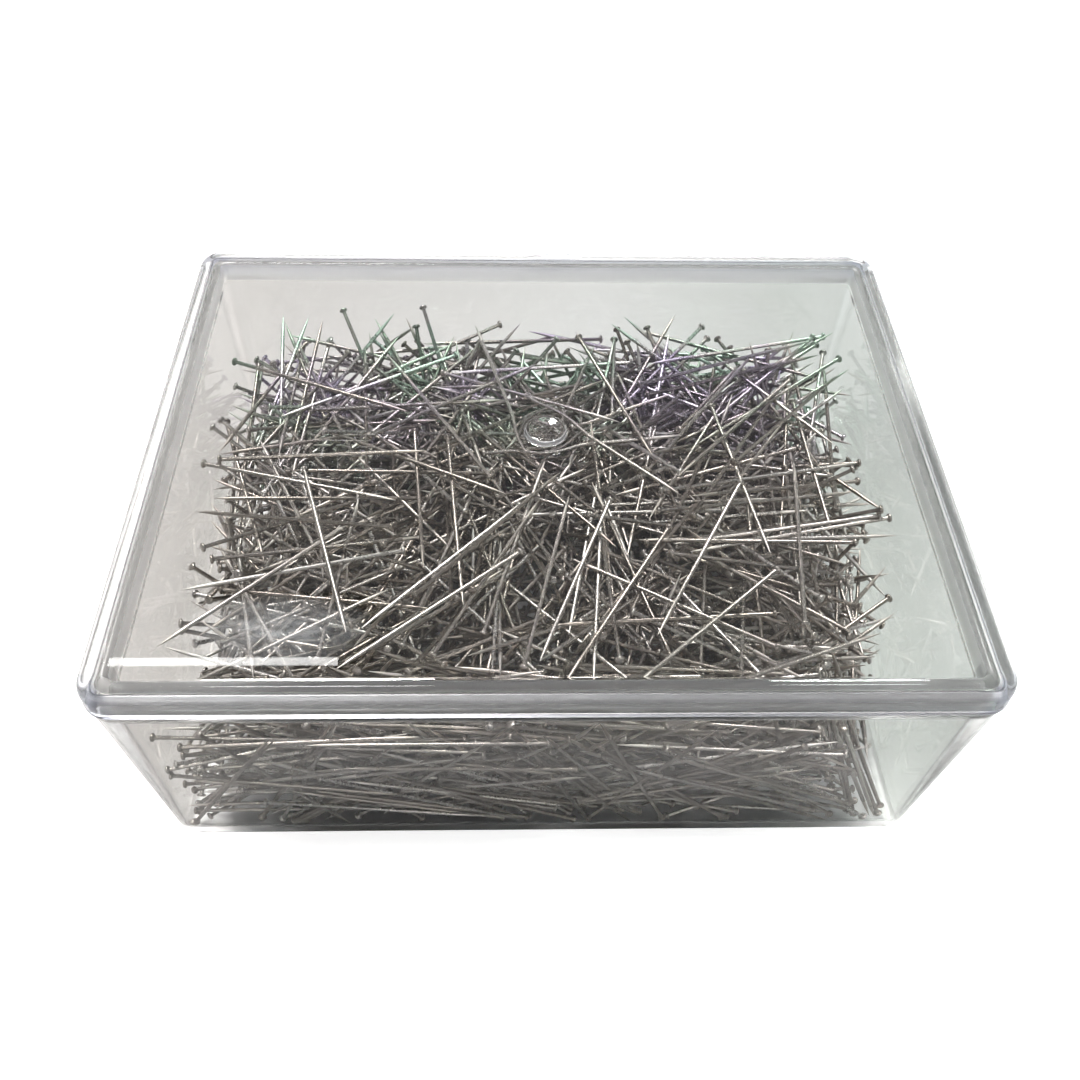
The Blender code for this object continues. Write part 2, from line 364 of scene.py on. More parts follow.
# Pins that stand out in the photo: head, point, in mm.
SHOWN = [((-48.1, 4.4, 28.9), (-22.0, -3.4, 30.9)), ((-21.0, -9.7, 30.5), (-48.8, -3.1, 28.9)),
         ((-27.7, -7.7, 29.7), (-48.8, -28.1, 30.3)), ((47.6, 26.0, 30.3), (24.3, 9.3, 29.5)),
         ((17.3, -14.1, 30.9), (42.9, -10.7, 24.3)), ((6.8, -6.1, 27.9), (5.7, -34.2, 31.7)),
         ((-19.7, 11.3, 28.5), (-16.1, -16.4, 31.7)), ((7.0, -8.1, 30.9), (33.5, -3.2, 23.9)),
         ((46.9, 6.3, 24.9), (21.7, -2.9, 31.5)), ((-44.0, -14.5, 29.9), (-16.7, -9.0, 28.1)),
         ((-36.8, 33.0, 26.7), (-47.7, 8.4, 29.3)), ((-31.4, 8.3, 30.5), (-5.8, 16.6, 24.3)),
         ((15.8, -13.0, 23.9), (1.0, -28.3, 30.7)), ((-12.2, -19.1, 30.5), (-15.1, 9.0, 22.5)),
         ((-14.1, 9.7, 30.0), (-11.6, -20.4, 28.5)), ((-9.6, -20.0, 30.5), (-6.4, 8.5, 24.5)),
         ((-7.7, -24.3, 28.5), (0.6, 4.6, 30.5)), ((-2.8, -31.9, 32.0), (3.3, -2.8, 30.3)),
         ((8.6, -31.0, 31.2), (8.0, -3.0, 26.0)), ((7.0, -6.3, 30.8), (-8.2, 17.5, 25.0)),
         ((22.9, 5.5, 31.0), (11.2, -20.5, 24.0)), ((13.8, -15.2, 24.0), (-9.9, -30.4, 32.0)),
         ((-21.4, -12.6, 30.5), (-6.8, 12.0, 23.5)), ((-17.5, -32.0, 31.0), (-4.0, -7.0, 22.5)),
         # heads against the left wall in the front corner
         ((-48.9, -36.4, 27.2), (-19.6, -35.4, 25.4)), ((-48.6, -36.0, 22.2), (-19.2, -34.6, 24.0)),
         ((-48.6, -36.7, 16.4), (-18.8, -36.2, 17.4)), ((-48.5, -35.6, 10.8), (-18.8, -34.0, 11.4)),
         ((-48.4, -36.6, 6.4), (-18.6, -35.8, 7.0)),
         # steep ones down the right-hand end of the front
         ((45.4, -36.8, 3.2), (36.6, -33.4, 31.4)), ((35.4, -32.0, 30.6), (44.2, -36.8, 3.0)),
         ((43.0, -36.9, 3.2), (34.0, -33.0, 31.2)), ((46.0, -35.4, 4.0), (37.4, -30.6, 32.0)),
         ((41.6, -36.9, 3.6), (33.0, -32.2, 31.6))]


def sow():
    """Pins, each a middle, a direction from point to head, and how far it may stick out."""
    centres, ways, spare = [], [], []

    def put(c, u, allow):
        centres.append(c)
        ways.append(u)
        spare.append(allow)

    for head, tip in SHOWN:
        head, tip = np.array(head), np.array(tip)
        u = (head - tip) / np.linalg.norm(head - tip)
        put((head + tip) / 2, u, 9.0)

    # pins against the front wall, at every angle, most with the head down
    for k in range(96):
        a = math.radians(3.0 + 71.0 * ((k * 0.618) % 1.0))
        reach = HALF * math.sin(a)
        low, high = FLOOR + 1.2 + reach, 27.6 - reach
        while True:
            u = np.array([rng.choice([-1.0, 1.0]) * math.cos(a), rng.normal(0, 0.025), -math.sin(a)])
            u /= np.linalg.norm(u)
            c = np.array([rng.uniform(-48, 46), -36.6 + rng.exponential(0.7),
                          rng.uniform(min(low, high), max(low, high))])
            half = HALF * abs(u[0])
            low_end, high_end = c + u * HALF, c - u * HALF
            if c[0] - half > -48.4 and all(e[0] < 45.4 - (e[2] - 4.0) * 0.32 for e in (low_end, high_end)):
                break
        put(c, -u if rng.random() < 0.28 else u, 3.0)

    # ends that stick out of the heap to the left, to the right and behind
    for side, many in (("left", 62), ("right", 56), ("back", 110)):
        n = 0
        while n < many:
            turn = rng.normal(0, 0.55)
            up = 4.0 + 26.0 * math.sqrt(rng.random())
            out = rng.uniform(0.8, 6.5)
            if side == "left":
                az, tilt = math.pi + turn, rng.normal(0.04, 0.26)
                end = np.array([left_side(up) - out, rng.uniform(-35, 34), up])
            elif side == "right":
                y = rng.uniform(-22, 34)
                az, tilt = turn, rng.normal(0.04, 0.26)
                end = np.array([right_side(y, up) + out, y, up])
            else:
                az, tilt = math.pi / 2 + rng.normal(0, 0.8), rng.uniform(-0.05, 0.6)
                end = np.array([rng.uniform(-46, 45), rng.uniform(30.5, 37.6), rng.uniform(24.5, 33.2)])
            hx, hy = cavity(end[2])
            end[0] = np.clip(end[0], -hx + 0.85, hx - 0.85)
            end[1] = np.clip(end[1], -hy + 0.85, hy - 0.85)
            u = way(az, tilt)
            c = end - u * HALF
            if not in_heap(c - u * HALF, 0.5):
                continue
            if rng.random() < 0.66:
                u = -u
            if fits(c, u):
                put(c, u, 9.0)
                n += 1

    # the bulk, close near the faces that show and looser deep inside
    n = 0
    while n < 1400:
        p = np.array([rng.uniform(-50, 50), rng.uniform(-38, 38), rng.uniform(2.0, 31.5)])
        if not in_heap(p):
            continue
        deep = depth(p)
        if deep > 7.0 and rng.random() < 0.55:
            continue
        for _ in range(60):
            az = rng.uniform(-math.pi, math.pi)
            if heap_top(p[0], p[1]) - p[2] < 9.0 and rng.random() < 0.50:
                # on top they fan out from the middle
                az = math.atan2(p[1] - 4.0, p[0]) + rng.normal(0, 0.6) + rng.choice([0.0, math.pi])
            steep = rng.random() < 0.34
            tilt = (rng.choice([-1, 1]) * rng.uniform(0.30, 1.0)) if steep else rng.normal(0, 0.22)
            u = way(az, tilt)
            if p[1] < -30.0:
                # along the front wall
                a = rng.uniform(-1.1, 1.1)
                u = np.array([rng.choice([-1.0, 1.0]) * math.cos(a), rng.normal(0, 0.14), math.sin(a)])
                u /= np.linalg.norm(u)
            c = p - u * rng.uniform(-HALF, HALF)
            allow = rng.exponential(0.9)
            if rng.random() < 0.15:
                allow = rng.uniform(1.5, 4.0)
            if p[1] < -26.0 and p[0] > 25.0:
                allow = min(allow, 0.4)
            if fits(c, u) and in_heap(np.array([c - u * HALF, c + u * HALF]), allow).all():
                put(c, u, allow)
                n += 1
                break
    return np.array(centres), np.array(ways), np.array(spare)


def nearest(ci, ui, cj, uj):
    """Places along two pins where they are closest."""
    r = ci - cj
    b = (ui * uj).sum(-1)
    d = (ui * r).sum(-1)
    e = (uj * r).sum(-1)
    den = 1 - b * b
    s = np.where(den > 1e-6, (b * e - d) / np.maximum(den, 1e-6), 0.0)
    s = np.clip(s, -HALF, HALF)
    t = np.clip(b * s + e, -HALF, HALF)
    s = np.clip(b * t - d, -HALF, HALF)
    return s, t


def near_pairs(c, u, moving, reach):
    out = []
    n = len(c)
    lo = np.minimum(c - u * HALF, c + u * HALF) - reach / 2
    hi = np.maximum(c - u * HALF, c + u * HALF) + reach / 2
    for i in range(moving):
        js = np.nonzero((lo[i + 1:] < hi[i]).all(1) & (hi[i + 1:] > lo[i]).all(1))[0] + i + 1
        if len(js) == 0:
            continue
        s, t = nearest(c[i], u[i], c[js], u[js])
        gap = np.linalg.norm(c[i] + s[:, None] * u[i] - c[js] - t[:, None] * u[js], axis=1)
        js = js[gap < reach]
        out.append(np.stack([np.full(len(js), i), js], 1))
    return np.concatenate(out)


def settle(c, u, spare, fixed, above, rounds):
    """Pushes pins apart until none lies in another, the walls or the floor."""
    m = len(c)
    fc = np.array([f[0] for f in fixed])
    fu = np.array([f[1] for f in fixed])
    C, U = np.concatenate([c, fc]), np.concatenate([u, fu])
    lc = np.array([f[0] for f in above])
    lu = np.array([f[1] for f in above])
    pairs = None
    for k in range(rounds):
        if k % 10 == 0:
            pairs = near_pairs(C, U, m, TOUCH + 0.9)
        i, j = pairs[:, 0], pairs[:, 1]
        s, t = nearest(C[i], U[i], C[j], U[j])
        gap = C[i] + s[:, None] * U[i] - C[j] - t[:, None] * U[j]
        dist = np.linalg.norm(gap, axis=1)
        hit = dist < TOUCH
        i, j, s, t, gap, dist = i[hit], j[hit], s[hit], t[hit], gap[hit], dist[hit]
        flat = np.cross(U[i], U[j])
        flat *= np.sign((flat * (C[i] - C[j])).sum(1) + 1e-12)[:, None]
        flat /= np.maximum(np.linalg.norm(flat, axis=1), 1e-9)[:, None]
        n = np.where((dist > 1e-4)[:, None], gap / np.maximum(dist, 1e-9)[:, None], flat)
        wi = 1 + 3 * (s / HALF) ** 2
        wj = np.where(j < m, 1 + 3 * (t / HALF) ** 2, 0.0)
        lam = (TOUCH - dist) / (wi + wj)
        dC, dU = np.zeros_like(C), np.zeros_like(U)
        num = np.bincount(i, minlength=len(C)) + np.bincount(j, minlength=len(C))
        push = lam[:, None] * n
        np.add.at(dC, i, push)
        np.add.at(dC, j, -push)
        np.add.at(dU, i, push * (3 * s / HALF ** 2)[:, None])
        np.add.at(dU, j, -push * (3 * t / HALF ** 2)[:, None])
        ease = 1.25 / np.maximum(1.0, num ** 0.5)[:, None]
        C[:m] += (dC * ease)[:m]
        U[:m] += (dU * ease)[:m]
        if k < rounds - 25:
            C[:m, 2] -= 0.006
        # nothing lies over a pin that lifts straight out
        for q in range(len(lc)):
            r2 = C[:m, :2] - lc[q, :2]
            a, b2 = U[:m, :2], lu[q, :2]
            den = a[:, 0] * b2[1] - a[:, 1] * b2[0]
            safe = np.where(np.abs(den) > 0.02, den, 1.0)
            st = np.where(np.abs(den) > 0.02, -(r2[:, 0] * b2[1] - r2[:, 1] * b2[0]) / safe, 0.0)
            st = np.clip(st, -HALF, HALF)
            p = C[:m] + st[:, None] * U[:m]
            tt = np.clip(((p[:, :2] - lc[q, :2]) * b2).sum(1) / (b2 @ b2), -HALF, HALF)
            st = np.clip(((lc[q, :2] + tt[:, None] * b2 - C[:m, :2]) * a).sum(1)
                         / np.maximum((a * a).sum(1), 1e-6), -HALF, HALF)
            p = C[:m] + st[:, None] * U[:m]
            o = lc[q] + tt[:, None] * lu[q]
            wide = np.where(tt > HALF - 1.2, HEAD_R + PIN_R + 0.25, GAP_LOOSE)
            wide = np.where(st > HALF - 1.2, wide + HEAD_R - PIN_R, wide)
            over = (np.linalg.norm(p[:, :2] - o[:, :2], axis=1) < wide)
            sink = p[:, 2] - (o[:, 2] - wide)
            act = over & (sink > 0)
            w = 1 + 3 * (st / HALF) ** 2
            d = np.where(act, np.minimum(sink / w, 0.6), 0.0)
            C[:m, 2] -= d
            U[:m, 2] -= d * 3 * st / HALF ** 2
        U[:m] /= np.linalg.norm(U[:m], axis=1)[:, None]
        # walls, floor and the heap's own outline, at both ends of each pin
        for sign, r in ((1.0, R_HEAD), (-1.0, R_TIP)):
            e = C[:m] + sign * HALF * U[:m]
            hx, hy = cavity(e[:, 2])
            soft = 0.15
            mv = np.zeros_like(e)
            mv[:, 0] += np.minimum(0, hx - r - e[:, 0]) + np.maximum(0, -(hx - r) - e[:, 0])
            mv[:, 1] += np.minimum(0, hy - r - e[:, 1]) + np.maximum(0, -(hy - r) - e[:, 1])
            mv[:, 2] += np.maximum(0, FLOOR + r + 0.05 - e[:, 2])
            mv[:, 2] += soft * np.minimum(0, heap_top(e[:, 0], e[:, 1]) + spare - e[:, 2])
            mv[:, 2] += np.minimum(0, CEILING - e[:, 2])
            mv[:, 0] += soft * np.maximum(0, left_side(e[:, 2]) - spare - e[:, 0])
            mv[:, 0] += soft * np.minimum(0, right_side(e[:, 1], e[:, 2]) + spare - e[:, 0])
            mv[:, 1] += soft * np.minimum(0, back_side(e[:, 2]) + spare - e[:, 1])
            C[:m] += mv / 4
            U[:m] += mv * (3 * sign / (4 * HALF))
            U[:m] /= np.linalg.norm(U[:m], axis=1)[:, None]
    pairs = near_pairs(C, U, m, TOUCH)
    i, j = pairs[:, 0], pairs[:, 1]
    s, t = nearest(C[i], U[i], C[j], U[j])
    d = np.linalg.norm(C[i] + s[:, None] * U[i] - C[j] - t[:, None] * U[j], axis=1)
    print("pins", m, "touching", len(d), "worst", round(float((2 * PIN_R - d).max()), 3),
          "over 0.1 mm", int((2 * PIN_R - d > 0.1).sum()), "over 0.3", int((2 * PIN_R - d > 0.3).sum()))
    return C[:m], U[:m]


heap_c, heap_u, heap_spare = sow()
heap_c, heap_u = settle(heap_c, heap_u, heap_spare, bedded_axes + loose_axes, loose_axes, 360)
COUNT = len(heap_c)

# ------------------------------------------------------------------ pins' meshes
SIDES = 10
PROFILE = [(-HALF + 0.10, 0.035), (-HALF + POINT_L * 0.16, 0.085), (-HALF + POINT_L * 0.45, 0.19),
           (-HALF + POINT_L * 0.75, 0.262), (-HALF + POINT_L, PIN_R),
           (HALF - HEAD_H - 0.16, PIN_R), (HALF - HEAD_H - 0.04, PIN_R + 0.07),
           (HALF - HEAD_H, HEAD_SEEN * 0.80), (HALF - HEAD_H + 0.10, HEAD_SEEN * 0.97),
           (HALF - 0.24, HEAD_SEEN), (HALF - 0.11, HEAD_SEEN * 0.88), (HALF - 0.03, HEAD_SEEN * 0.60)]


def pin_template():
    verts = [(0.0, 0.0, -HALF)]
    along = [0.0]
    ang = np.arange(SIDES) * 2 * math.pi / SIDES
    for z, r in PROFILE:
        verts += [(r * math.cos(a), r * math.sin(a), z) for a in ang]
        along += [(z + HALF) / PIN_L] * SIDES
    verts.append((0.0, 0.0, HALF))
    along.append(1.0)
    faces = []
    for k in range(SIDES):
        faces.append((0, 1 + (k + 1) % SIDES, 1 + k))
    for q in range(len(PROFILE) - 1):
        lo, hi = 1 + q * SIDES, 1 + (q + 1) * SIDES
        for k in range(SIDES):
            b = (k + 1) % SIDES
            faces.append((lo + k, lo + b, hi + b, hi + k))
    lo, last = 1 + (len(PROFILE) - 1) * SIDES, len(verts) - 1
    for k in range(SIDES):
        faces.append((lo + k, lo + (k + 1) % SIDES, last))
    return np.array(verts), faces, np.array(along)


T_VERTS, T_FACES, T_ALONG = pin_template()
T_LOOPS = np.concatenate([np.array(f) for f in T_FACES])
T_STARTS = np.concatenate([[0], np.cumsum([len(f) for f in T_FACES])[:-1]])


def pins_object(name, centres, ways, tones):
    """One mesh of separate closed pins."""
    n = len(centres)
    ways = np.asarray(ways)
    helper = np.where(np.abs(ways[:, 2:3]) < 0.9, [[0, 0, 1.0]], [[1.0, 0, 0]])
    x = np.cross(helper, ways)
    x /= np.linalg.norm(x, axis=1)[:, None]
    y = np.cross(ways, x)
    spin = np.asarray(tones) * 11.0
    xs = x * np.cos(spin)[:, None] + y * np.sin(spin)[:, None]
    ys = np.cross(ways, xs)
    verts = (np.asarray(centres)[:, None, :] + T_VERTS[None, :, 0:1] * xs[:, None, :]
             + T_VERTS[None, :, 1:2] * ys[:, None, :] + T_VERTS[None, :, 2:3] * ways[:, None, :])
    nv = len(T_VERTS)
    mesh = bpy.data.meshes.new(name)
    mesh.vertices.add(n * nv)
    mesh.vertices.foreach_set("co", (verts.reshape(-1) * 0.001).astype(np.float32))
    loops = (T_LOOPS[None, :] + (np.arange(n) * nv)[:, None]).ravel()
    starts = (T_STARTS[None, :] + (np.arange(n) * len(T_LOOPS))[:, None]).ravel()
    mesh.loops.add(len(loops))
    mesh.loops.foreach_set("vertex_index", loops.astype(np.int32))
    mesh.polygons.add(len(starts))
    mesh.polygons.foreach_set("loop_start", starts.astype(np.int32))
    mesh.update(calc_edges=True)
    mesh.polygons.foreach_set("use_smooth", np.ones(len(starts), bool))
    tone = mesh.attributes.new("pin_tone", 'FLOAT', 'POINT')
    tone.data.foreach_set("value", np.repeat(np.asarray(tones, np.float32), nv))
    along = mesh.attributes.new("pin_along", 'FLOAT', 'POINT')
    along.data.foreach_set("value", np.tile(T_ALONG.astype(np.float32), n))
    obj = bpy.data.objects.new(name, mesh)
    scene.collection.objects.link(obj)
    return obj


tones = rng.random(COUNT)
order = np.argsort(heap_c[:, 2])
GROUPS = 6
bulk = []
for g in range(GROUPS):
    idx = order[g * COUNT // GROUPS:(g + 1) * COUNT // GROUPS]
    bulk.append(pins_object("bulk_pins_%d" % (g + 1), heap_c[idx], heap_u[idx], tones[idx]))
bedded = pins_object("bedded_pins", [a[0] for a in bedded_axes], [a[1] for a in bedded_axes],
                     rng.random(len(bedded_axes)))
loose = []
for name, (c, u) in zip(loose_names, loose_axes):
    loose.append(pins_object(name + "_fine", [c], [u], rng.random(1)))


# -------------------------------------------------------------------- materials
def material(name):
    mat = bpy.data.materials.new(name)
    mat.use_nodes = True
    nt = mat.node_tree
    nt.nodes.clear()
    out = nt.nodes.new("ShaderNodeOutputMaterial")
    bsdf = nt.nodes.new("ShaderNodeBsdfPrincipled")
    nt.links.new(bsdf.outputs[0], out.inputs["Surface"])
    return mat, nt, bsdf, out


def node(nt, kind, **inputs):
    n = nt.nodes.new(kind)
    for key, value in inputs.items():
        n.inputs[key.replace("_", " ")].default_value = value
    return n


def ramp(nt, source, stops):
    r = nt.nodes.new("ShaderNodeValToRGB")
    while len(r.color_ramp.elements) > 1:
        r.color_ramp.elements.remove(r.color_ramp.elements[-1])
    first = True
    for pos, col in stops:
        e = r.color_ramp.elements[0] if first else r.color_ramp.elements.new(pos)
        e.position = pos
        e.color = (*col, 1.0) if len(col) == 3 else col
        first = False
    nt.links.new(source, r.inputs["Fac"])
    return r


def math_node(nt, op, a, b=None, clamp=False):
    n = nt.nodes.new("ShaderNodeMath")
    n.operation = op
    n.use_clamp = clamp
    for k, v in enumerate((a, b)):
        if v is None:
            continue
        if isinstance(v, (int, float)):
            n.inputs[k].default_value = v
        else:
            nt.links.new(v, n.inputs[k])
    return n.outputs[0]


def mapped(nt, coord, scale):
    m = nt.nodes.new("ShaderNodeMapping")
    m.inputs["Scale"].default_value = scale
    nt.links.new(coord, m.inputs["Vector"])
    return m.outputs["Vector"]


def noise(nt, vector, scale, detail=3.0, rough=0.5):
    n = node(nt, "ShaderNodeTexNoise", Scale=scale, Detail=detail, Roughness=rough)
    nt.links.new(vector, n.inputs["Vector"])
    return n.outputs["Fac"]


def pin_material():
    mat, nt, bsdf, out = material("nickel_plated_steel")
    L = nt.links.new
    coord = nt.nodes.new("ShaderNodeTexCoord").outputs["Object"]
    tone = nt.nodes.new("ShaderNodeAttribute")
    tone.attribute_name = "pin_tone"
    along = nt.nodes.new("ShaderNodeAttribute")
    along.attribute_name = "pin_along"
    # each pin's own shade of plating
    base = ramp(nt, tone.outputs["Fac"], [(0.0, (0.345, 0.306, 0.268)), (0.3, (0.418, 0.380, 0.340)),
                                         (0.7, (0.492, 0.460, 0.424)), (1.0, (0.575, 0.552, 0.524))])
    # painted violet and green sheen in drifts, towards the back of the box: the clear plastic's faint stress
    # colours, painted into the pins' base colour
    painted_sheen_drift = noise(nt, coord, 75.0, 1.5)
    tint = ramp(nt, painted_sheen_drift, [(0.40, (0.68, 0.60, 1.08)), (0.475, (0.99, 1.02, 1.12)),
                            (0.525, (0.99, 1.05, 1.08)), (0.60, (0.58, 1.04, 0.88))])
    place = nt.nodes.new("ShaderNodeSeparateXYZ")
    L(coord, place.inputs[0])
    back = nt.nodes.new("ShaderNodeMapRange")
    back.inputs["From Min"].default_value = 0.006
    back.inputs["From Max"].default_value = 0.026
    back.inputs["To Min"].default_value = 0.05
    back.inputs["To Max"].default_value = 0.62
    L(place.outputs["Y"], back.inputs["Value"])
    mix = nt.nodes.new("ShaderNodeMix")
    mix.data_type = 'RGBA'
    mix.blend_type = 'MULTIPLY'
    L(back.outputs["Result"], mix.inputs["Factor"])
    L(base.outputs["Color"], mix.inputs["A"])
    L(tint.outputs["Color"], mix.inputs["B"])
    L(mix.outputs["Result"], bsdf.inputs["Base Color"])
    bsdf.inputs["Metallic"].default_value = 1.0
    # drawn wire: fine grain, a rougher ground point, polished head
    grain = noise(nt, coord, 2600.0, 2.0)
    r0 = math_node(nt, 'MULTIPLY_ADD', grain, 0.05)
    r0.node.inputs[2].default_value = 0.175
    point = ramp(nt, along.outputs["Fac"], [(0.0, (0.12,) * 3), (0.13, (0.10,) * 3),
                                           (0.15, (0.0,) * 3), (1.0, (0.0,) * 3)])
    r1 = math_node(nt, 'ADD', r0, point.outputs["Color"])
    spread = math_node(nt, 'MULTIPLY', tone.outputs["Fac"], 0.08)
    rough = math_node(nt, 'ADD', r1, spread, True)
    L(rough, bsdf.inputs["Roughness"])
    bump = nt.nodes.new("ShaderNodeBump")
    bump.inputs["Strength"].default_value = 0.015
    bump.inputs["Distance"].default_value = 0.00003
    L(grain, bump.inputs["Height"])
    L(bump.outputs["Normal"], bsdf.inputs["Normal"])
    return mat


def clear_material(name, tint, frost_from=None, frost_to=None, skirt=None):
    mat, nt, bsdf, out = material(name)
    L = nt.links.new
    coord = nt.nodes.new("ShaderNodeTexCoord").outputs["Object"]
    bsdf.inputs["Transmission Weight"].default_value = 1.0
    bsdf.inputs["IOR"].default_value = 1.57
    bsdf.inputs["Metallic"].default_value = 0.0
    # light scuffing in patches, and long hair scratches
    patch = ramp(nt, noise(nt, coord, 34.0, 3.0, 0.55), [(0.50, (0.0,) * 3), (0.72, (1.0,) * 3)])
    hair_a = noise(nt, mapped(nt, coord, (60.0, 2600.0, 900.0)), 1.0, 2.0)
    hair_b = noise(nt, mapped(nt, coord, (1900.0, 140.0, 900.0)), 1.0, 2.0)
    hairs = math_node(nt, 'MAXIMUM', hair_a, hair_b)
    hair = ramp(nt, hairs, [(0.66, (0.0,) * 3), (0.74, (1.0,) * 3)])
    scuff = math_node(nt, 'MULTIPLY', patch.outputs["Color"], hair.outputs["Color"])
    rough = math_node(nt, 'MULTIPLY_ADD', scuff, 0.12)
    rough.node.inputs[2].default_value = 0.006
    hue = None
    if frost_from is not None:
        xyz = nt.nodes.new("ShaderNodeSeparateXYZ")
        L(coord, xyz.inputs[0])
        # soft satin on the end walls
        ends = ramp(nt, math_node(nt, 'MULTIPLY', math_node(nt, 'ABSOLUTE', xyz.outputs["X"]), 10.0),
                    [(0.502, (0.0,) * 3), (0.512, (0.18,) * 3)])
        rough = math_node(nt, 'MAXIMUM', rough, ends.outputs["Color"])
        # satin in the upright corners and on the floor
        cx = math_node(nt, 'GREATER_THAN', math_node(nt, 'ABSOLUTE', xyz.outputs["X"]), 0.0484)
        cy = math_node(nt, 'GREATER_THAN', math_node(nt, 'ABSOLUTE', xyz.outputs["Y"]), 0.0366)
        post = math_node(nt, 'MULTIPLY', math_node(nt, 'MULTIPLY', cx, cy), 0.20)
        rough = math_node(nt, 'MAXIMUM', rough, post)
        ground = math_node(nt, 'LESS_THAN', xyz.outputs["Z"], (FLOOR + 0.05) * 0.001)
        rough = math_node(nt, 'MAXIMUM', rough, math_node(nt, 'MULTIPLY', ground, 0.36))
        # painted tint and shade on the end walls: warm and a little darker at the left end, green and darker at
        # the right end
        side = math_node(nt, 'MULTIPLY_ADD', xyz.outputs["X"], 8.0)
        side.node.inputs[2].default_value = 0.5
        tone = ramp(nt, side, [(0.085, (0.96, 0.945, 0.93)), (0.10, (1.0,) * 3), (0.90, (1.0,) * 3),
                              (0.915, (0.92, 0.945, 0.92))])
        # painted shade: grey in the floor and the foot, where the tray sits on the ground, and low on the front of
        # the neck, in the shade behind the lid's lip
        painted_foot_shade = ramp(nt, math_node(nt, 'MULTIPLY', xyz.outputs["Z"], 20.0),
                    [(0.030, (0.60, 0.60, 0.60)), (0.048, (1.0,) * 3)])
        painted_collar_shade = ramp(nt, math_node(nt, 'MULTIPLY', xyz.outputs["Z"], 20.0),
                      [(0.711, (1.0,) * 3), (0.713, (0.5, 0.5, 0.52)), (0.745, (0.55, 0.55, 0.57)),
                       (0.755, (1.0,) * 3)])
        ahead = math_node(nt, 'LESS_THAN', xyz.outputs["Y"], -0.036)
        hue = tone
        for other in (painted_foot_shade, painted_collar_shade):
            mix = nt.nodes.new("ShaderNodeMix")
            mix.data_type = 'RGBA'
            mix.blend_type = 'MULTIPLY'
            mix.inputs["Factor"].default_value = 1.0
            if other is painted_collar_shade:
                L(ahead, mix.inputs["Factor"])
            L(hue.outputs["Color" if hue is tone else "Result"], mix.inputs["A"])
            L(other.outputs["Color"], mix.inputs["B"])
            hue = mix
        up = math_node(nt, 'GREATER_THAN', xyz.outputs["Z"], frost_from * 0.001)
        down = math_node(nt, 'LESS_THAN', xyz.outputs["Z"], frost_to * 0.001)
        band = math_node(nt, 'MULTIPLY', up, down)
        fine = noise(nt, coord, 900.0, 2.0)
        frost = math_node(nt, 'MULTIPLY_ADD', fine, 0.20)
        frost.node.inputs[2].default_value = 0.40
        frost = math_node(nt, 'MULTIPLY', frost, band)
        rough = math_node(nt, 'MAXIMUM', rough, frost)
    if skirt is not None:
        # satin on the inside of the lid's skirt
        xyz = nt.nodes.new("ShaderNodeSeparateXYZ")
        L(coord, xyz.inputs[0])
        low = math_node(nt, 'LESS_THAN', xyz.outputs["Z"], skirt[0] * 0.001)
        in_x = math_node(nt, 'LESS_THAN', math_node(nt, 'ABSOLUTE', xyz.outputs["X"]), skirt[1] * 0.001)
        in_y = math_node(nt, 'LESS_THAN', math_node(nt, 'ABSOLUTE', xyz.outputs["Y"]), skirt[2] * 0.001)
        band = math_node(nt, 'MULTIPLY', math_node(nt, 'MULTIPLY', in_x, in_y), low)
        fine = math_node(nt, 'MULTIPLY_ADD', noise(nt, coord, 900.0, 2.0), 0.12)
        fine.node.inputs[2].default_value = 0.26
        rough = math_node(nt, 'MAXIMUM', rough, math_node(nt, 'MULTIPLY', fine, band))
        lip = math_node(nt, 'LESS_THAN', xyz.outputs["Z"], (BOX_H - LID_H + 0.30) * 0.001)
        rough = math_node(nt, 'MAXIMUM', rough, math_node(nt, 'MULTIPLY', lip, 0.12))
        # painted shade: a dark band low on the front of the skirt
        painted_lip_shade = ramp(nt, math_node(nt, 'MULTIPLY', xyz.outputs["Z"], 20.0),
                    [(0.741, (0.33, 0.33, 0.36)), (0.748, (1.0,) * 3)])
        # painted shade on the thick rim: darker at its ends and corners, and a painted lilac cast along the back
        painted_rim_shade = ramp(nt, math_node(nt, 'MULTIPLY', math_node(nt, 'ABSOLUTE', xyz.outputs["X"]), 10.0),
                   [(0.525, (1.0,) * 3), (0.530, (0.72, 0.73, 0.75)), (0.545, (0.60, 0.61, 0.64))])
        painted_lilac_back = ramp(nt, math_node(nt, 'MULTIPLY', xyz.outputs["Y"], 10.0),
                    [(0.400, (1.0,) * 3), (0.406, (0.80, 0.80, 0.90)), (0.418, (0.62, 0.62, 0.72))])
        sides = math_node(nt, 'ADD', math_node(nt, 'ABSOLUTE', xyz.outputs["X"]),
                          math_node(nt, 'ABSOLUTE', xyz.outputs["Y"]))
        painted_corner_shade = ramp(nt, math_node(nt, 'MULTIPLY', sides, 10.0),
                    [(0.908, (1.0,) * 3), (0.922, (0.66, 0.69, 0.78))])
        hue = painted_rim_shade
        for other in (painted_lilac_back, painted_corner_shade, painted_lip_shade):
            mix = nt.nodes.new("ShaderNodeMix")
            mix.data_type = 'RGBA'
            mix.blend_type = 'MULTIPLY'
            mix.inputs["Factor"].default_value = 1.0
            if other is painted_lip_shade:
                L(math_node(nt, 'LESS_THAN', xyz.outputs["Y"], -0.0375), mix.inputs["Factor"])
            L(hue.outputs["Color" if hue is painted_rim_shade else "Result"], mix.inputs["A"])
            L(other.outputs["Color"], mix.inputs["B"])
            hue = mix
    L(rough, bsdf.inputs["Roughness"])
    cloud = noise(nt, coord, 18.0, 2.0)
    lo = tuple(c * 0.985 for c in tint)
    col = ramp(nt, cloud, [(0.3, lo), (0.7, tint)])
    if hue is None:
        L(col.outputs["Color"], bsdf.inputs["Base Color"])
    else:
